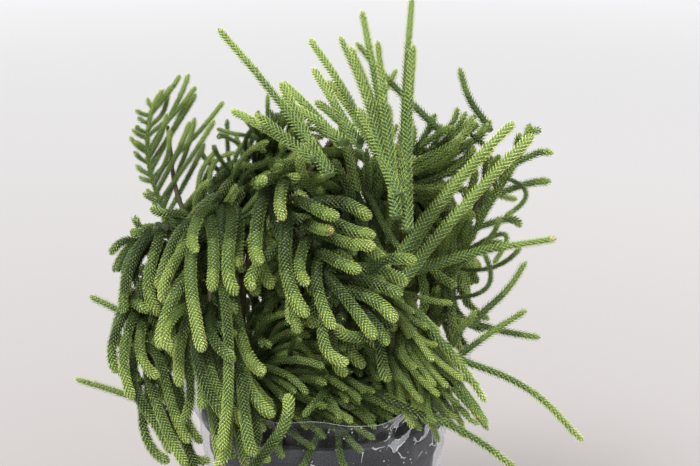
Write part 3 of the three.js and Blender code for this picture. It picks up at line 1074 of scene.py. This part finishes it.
def make_film(frame, material):
    """The film sleeve: a thin sheet round the bucket, creased, and wavy where it stands free."""
    rng = np.random.default_rng(SEED + 1)
    heights, radii = film_line(frame)
    sides, rows = 300, 84
    z = np.linspace(heights[0], heights[-1], rows)
    # a row just below the upper edge, so that its painted bright line stays thin
    z[-2] = z[-1] - 0.6 * MM
    angle, z = np.meshgrid(2 * math.pi * np.arange(sides) / sides, z, indexing="ij")
    radius = np.interp(z, heights, radii)
    _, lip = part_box("bucket")
    free = np.clip((z - (lip.z - 30 * MM)) / (50 * MM), 0, 1)
    folds = creases(angle * lip.x, z, rng, 460)
    # folds meet where the sheet closes on itself
    close = np.clip(np.minimum(angle, 2 * math.pi - angle) / 0.2, 0, 1)
    depth = (1.1 + 3.6 * free) * MM * folds * close
    radius += np.where(free > 0, depth, np.abs(depth))
    wave = np.sin(9 * angle) + 0.6 * np.sin(5 * angle + 2)
    radius += free**2 * 4 * MM * wave
    edge = np.clip((z - lip.z) / (heights[-1] - lip.z), 0, 1)
    lift = (np.sin(2 * angle + 1) + 0.4 * np.sin(11 * angle)) * 3 * MM
    points = np.stack([radius * np.cos(angle), radius * np.sin(angle), z + edge * lift], axis=2)
    faces = []
    for a in range(sides):
        b = (a + 1) % sides
        for k in range(rows - 1):
            faces.append((a * rows + k, b * rows + k, b * rows + k + 1, a * rows + k + 1))
    mesh = bpy.data.meshes.new("film_sheet")
    mesh.from_pydata(points.reshape(-1, 3).tolist(), [], faces)
    mesh.materials.append(material)
    # painted highlight: marks the upper edge row, which the film shader paints as a bright line
    give_values(mesh, "edge", "POINT", np.tile(np.arange(rows) >= rows - 1, sides))
    film = new_object("film_sheet", mesh)
    solidify = film.modifiers.new("thickness", "SOLIDIFY")
    solidify.thickness = 0.15 * MM
    solidify.offset = 1
    return hand_over(film, "clear_film", "film_sleeve")


def drops_group(material):
    """Drops of many sizes, scattered over a sheet."""
    graph, given, sockets = new_group("drops_on_film", Density="Float", Seed="Int")
    inputs = {"Mesh": given["Geometry"], "Density": given["Density"], "Seed": given["Seed"]}
    scattered = graph.add("GeometryNodeDistributePointsOnFaces", inputs)
    size = chance(graph, 0.25, 1.0, 4)
    radius = size * size * (1.0 * MM)
    placing = {
        "Points": graph.out(scattered, "Points"),
        "Instance": graph.wire("GeometryNodeMeshIcoSphere", {"Radius": 1.0, "Subdivisions": 1}),
        "Rotation": graph.out(scattered, "Rotation"),
        "Scale": graph.wire("ShaderNodeCombineXYZ", {"X": radius, "Y": radius, "Z": radius * 0.55}),
    }
    close_group(graph, graph.wire("GeometryNodeInstanceOnPoints", placing), [material])
    return graph.tree, sockets


# ---- the stage ----


def make_camera(bounds):
    height = bounds[1][2]
    target = Vector((VIEW_ASIDE, 0, VIEW_HEIGHT * height))
    data = bpy.data.cameras.new("camera")
    data.sensor_width = 36
    data.angle = VIEW_WIDTH
    camera = new_object("camera", data)
    away = Vector((0, -math.cos(VIEW_ELEVATION), math.sin(VIEW_ELEVATION)))
    camera.location = target + away * VIEW_DISTANCE
    camera.rotation_euler = (-away).to_track_quat("-Z", "Y").to_euler()
    bpy.context.scene.camera = camera


def make_stage():
    """A pale floor, with painted shade that makes it a little darker close to the object."""
    material, graph, shader = new_material("pale_floor_painted_shade")
    place = graph.wire("ShaderNodeTexCoord", key="Object")
    far = graph.wire("ShaderNodeVectorMath", {0: place}, "Value", operation="LENGTH")
    # painted shade: the floor darkens towards the object's foot
    painted_shade_greys = [(0.0, (0.36, 0.327, 0.317)), (0.25, (0.52, 0.50, 0.495)), (0.85, (0.985, 0.985, 1.0))]
    graph.put(shader, {"Base Color": graph.ramp(far * 0.2, painted_shade_greys), "Roughness": 0.9})
    turns = np.linspace(0, 2 * math.pi, 64, endpoint=False)
    points = [(FLOOR_RADIUS * math.cos(t), FLOOR_RADIUS * math.sin(t), 0) for t in turns]
    mesh = bpy.data.meshes.new("floor")
    mesh.from_pydata(points, [], [tuple(range(len(points)))])
    mesh.materials.append(material)
    new_object("floor", mesh)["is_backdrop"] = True


def make_light(name, place, size, power):
    data = bpy.data.lights.new(name, "AREA")
    data.shape = "DISK"
    data.size = size
    data.energy = power
    lamp = new_object(name, data)
    lamp.location = place
    lamp.rotation_euler = (Vector(place) - Vector(CORE)).to_track_quat("Z", "Y").to_euler()


def make_lights():
    world = bpy.data.worlds.new("studio")
    bpy.context.scene.world = world
    world.use_nodes = True
    sky = {"Color": (1, 1, 1, 1), "Strength": 0.86}
    Graph(world.node_tree).put(world.node_tree.nodes["Background"], sky)
    make_light("key", (-0.7, -1.2, 2.4), 0.9, 60)
    make_light("fill", (1.6, -1.0, 1.6), 1.4, 12)
    make_light("rear", (0.6, 1.6, 2.2), 1.2, 14)
    bpy.context.scene.view_settings.view_transform = "Standard"


# ---- assembly ----


# at the foot and at the top
STEM_GIRTHS = (6.2 * MM, 4.6 * MM)
BOUGH_GIRTHS = (4.2 * MM, 1.6 * MM)


def make_stems(nodes, bark, boughs):
    """The cut stems, and the boughs that go on from them into the masses, all with bark."""
    stems = sorted(name for name in nodes if name.startswith("stem_"))
    lines = [Limb(nodes[name], np.zeros(3)).line for name in stems]
    tops = [(line[-1], unit(line[-1] - line[-4])) for line in lines]
    girths = [STEM_GIRTHS] * len(lines)
    for limb in boughs:
        top, heading = min(tops, key=lambda t: norm(t[0] - limb.line[0]))
        gap = norm(limb.line[0] - top)
        first = unit(limb.line[1] - limb.line[0])
        link = bezier(top, top + heading * gap * 0.2, limb.line[0] - first * gap * 0.1, limb.line[0], 10)
        reach = limb.line[: int(0.8 * len(limb.line))]
        lines.append(np.vstack([link, reach[1:]]))
        girths.append(BOUGH_GIRTHS)
    even = [resampled(line, 40) for line in lines]
    source = path_object("stem_paths", even, {"girth": [np.linspace(*ends, 40) for ends in girths]})
    sizes = {"Step": 4 * MM, "Sides": 10, "Relief": 1.4 * MM}
    piece = grown_piece("stems_and_boughs", source, bark_group(bark), sizes)
    piece.data.shade_smooth()
    bpy.data.objects.remove(source)
    return hand_over(piece, "cut_stem", *stems)


def make_long_shoots(nodes, clothes, grove):
    """The single long shoots, each spray with a shorter one at its side."""
    names = sorted(name for name in nodes if name.startswith(("spray_", "whip_")))
    rng = np.random.default_rng(SEED)
    shoots = []
    for name in names:
        lines = [Limb(nodes[name], CORE).line]
        if name.startswith("spray_"):
            forward = np.linspace(1, 0, len(lines[0]))[:, None] ** 1.2
            lines[0] = lines[0] + SPRAY_FOOT * forward
            lines.append(companion(lines[0], rng))
        for line in lines:
            line = np.vstack([line[0] + (line[0] - line[2]) * 2, line])
            shift = rng.normal(0, 0.2)
            girth = rng.uniform(2.5, 3.0) * MM
            tint = (2.7 + shift, 4.5 + shift)
            shoots.append(Shoot(line, girth, tint, (1.3, 0.78), name in DRY_TIPS))
            grove.plant(line, 2.5 * MM)
    clothes.dress("long_shoots", shoots, AWL_LEAF, "long_shoot", *names)


def make_hooks(clothes, grove):
    """The curled shoots, which no node stands for."""
    hooks = []
    for foot, bend, tip in np.array(HOOKS):
        line = bezier(foot, foot + (bend - foot) * 2 / 3, tip + (bend - tip) * 2 / 3, tip, 15)
        hooks.append(Shoot(line, HOOK_GIRTH, (2.2, 3.9)))
        grove.plant(line, HOOK_GIRTH)
    clothes.dress("hooks", hooks, THIN_LEAF, "dark_foliage")


def make_masses(nodes, clothes, grove):
    """The shoots of every mass, and the boughs that they grow from."""
    masses = sorted({habit.mass or name for name, habit in HABITS.items()})
    limbs = {name: Limb(nodes[name], CORE) for name in masses}
    solids = {name: Solid(nodes[name]) for name in masses}
    for number, (name, habit) in enumerate(HABITS.items()):
        rng = np.random.default_rng(SEED + 10 * number)
        mass = habit.mass or name
        others = [solid for key, solid in solids.items() if key != mass]
        shoots = RULES[habit.rule](habit, limbs[mass], solids[mass], others, grove, rng)
        clothes.dress(name, shoots, habit.leaf, habit.slot, mass)
    return list(limbs.values())


def main():
    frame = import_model()
    cad_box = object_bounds()
    nodes = frame["nodes"]
    make_camera(cad_box)
    make_stage()
    make_lights()
    clothes = Clothes()
    grove = Grove()
    make_bucket(frame, bucket_material())
    film = make_film(frame, film_material())
    make_long_shoots(nodes, clothes, grove)
    make_hooks(clothes, grove)
    boughs = make_masses(nodes, clothes, grove)
    make_stems(nodes, bark_material(), boughs)
    scatter = {"Density": 1500.0, "Seed": SEED}
    hand_over(grown_piece("water_drops", film, drops_group(droplet_material()), scatter), "clear_film")
    clothes.put_away()


main()
